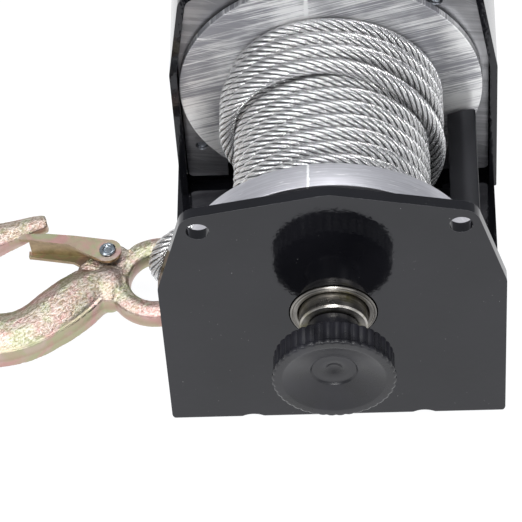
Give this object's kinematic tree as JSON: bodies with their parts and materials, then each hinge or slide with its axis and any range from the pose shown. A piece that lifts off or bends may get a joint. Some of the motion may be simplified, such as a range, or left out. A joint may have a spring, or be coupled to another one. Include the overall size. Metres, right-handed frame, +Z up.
{
  "type": "boat trailer winch",
  "caption": "Electric trailer winch: folded black frame, flanged drum wound with wire rope, pull-out clutch knob, gear housing, motor and safety hook.",
  "frame": {"origin": "middle of the base's underside", "axes": "+X across the winch, +Y along the drum axis from the clutch knob to the motor, +Z up"},
  "size_m": [0.2191, 0.2741, 0.1249],
  "materials": {
    "black_powder_coat": "gloss black powder coat with fine orange peel",
    "raw_steel": "bare sheet steel, brushed and scratched",
    "dark_steel": "turned steel, oiled",
    "galvanised_rope": "galvanised stranded wire",
    "zinc_plate": "bright zinc plate",
    "yellow_zinc": "iridescent yellow passivated zinc",
    "black_plastic": "moulded black plastic",
    "gear_steel": "cut gear steel, greased",
    "bronze": "sintered bronze",
    "aluminium": "pressed aluminium sleeve",
    "magnet": "ferrite",
    "copper": "copper"
  },
  "bodies": {
    "frame": {"folded_frame": "black_powder_coat", "front_bush": "dark_steel", "rear_bush": "bronze", "gear_plate": "raw_steel", "gear_housing": "black_powder_coat", "standoff_1": "zinc_plate", "standoff_2": "zinc_plate", "standoff_3": "zinc_plate", "standoff_4": "zinc_plate", "housing_screw_1": "zinc_plate", "housing_screw_2": "zinc_plate", "housing_screw_3": "zinc_plate", "housing_screw_4": "zinc_plate", "base_screw_1": "zinc_plate", "base_screw_2": "zinc_plate", "base_screw_3": "zinc_plate", "base_screw_4": "zinc_plate", "rope_guard": "black_powder_coat", "guard_screw_1": "zinc_plate", "guard_screw_2": "zinc_plate", "motor_can": "black_powder_coat", "motor_screw_1": "zinc_plate", "motor_screw_2": "zinc_plate", "motor_end_cap": "black_plastic", "terminal_stud_1": "copper", "terminal_stud_2": "copper", "terminal_nut_1": "zinc_plate", "terminal_nut_2": "zinc_plate", "motor_magnet_1": "magnet", "motor_magnet_2": "magnet", "gear_axle": "gear_steel", "idler_axle": "gear_steel", "rope_free_end": "galvanised_rope", "rope_ferrule": "aluminium", "rope_eye_loop": "galvanised_rope"},
    "drum": {"drum_shaft": "dark_steel", "drum_barrel": "raw_steel", "front_flange": "raw_steel", "rear_flange": "raw_steel", "drum_gear": "gear_steel", "rope_pack": "galvanised_rope", "rope_clamp_screw": "zinc_plate"},
    "clutch": {"clutch_knob": "black_plastic", "clutch_rod": "dark_steel", "clutch_dog": "gear_steel", "clutch_spring": "zinc_plate"},
    "idler": {"idler_pinion": "gear_steel", "idler_gear": "gear_steel", "idler_sleeve": "gear_steel"},
    "motor_rotor": {"motor_shaft": "gear_steel", "motor_pinion": "gear_steel", "motor_armature": "copper"},
    "hook": {"hook_body": "yellow_zinc", "latch_rivet": "zinc_plate", "latch_spring": "zinc_plate"},
    "latch": {"hook_latch": "zinc_plate"}
  },
  "joints": [
    {"name": "drum_spin", "type": "hinge", "parent": "frame", "child": "drum", "pos_m": [0, 0, 0.0606], "axis": [0, 1, 0], "continuous": true},
    {"name": "clutch_pull", "type": "slide", "parent": "drum", "child": "clutch", "axis": [0, -1, 0], "range_m": [0, 0.008], "stiffness_N_per_m": 600, "springref_m": -0.005, "deforming": ["clutch_spring"]},
    {"name": "idler_spin", "type": "hinge", "parent": "frame", "child": "idler", "pos_m": [-0.0276, 0, 0.0882], "axis": [0, 1, 0], "continuous": true},
    {"name": "motor_spin", "type": "hinge", "parent": "frame", "child": "motor_rotor", "pos_m": [-0.0006, 0, 0.0882], "axis": [0, 1, 0], "continuous": true},
    {"name": "hook_swing", "type": "hinge", "parent": "frame", "child": "hook", "pos_m": [-0.06511, -0.0337, 0.0147], "axis": [-0.0705, 0, 0.9975], "range_deg": [-12, 12]},
    {"name": "latch_open", "type": "hinge", "parent": "hook", "child": "latch", "pos_m": [-0.08367, -0.0218, 0.01338], "axis": [-0.0705, 0, 0.9975], "range_deg": [0, 18], "stiffness_Nm_per_rad": 0.05, "springref_deg": -17.19, "deforming": ["latch_spring"]}
  ],
  "couplings": [
    {"joint": "idler_spin", "follows": "drum_spin", "ratio": -3.3333},
    {"joint": "motor_spin", "follows": "drum_spin", "ratio": 11.667}
  ]
}
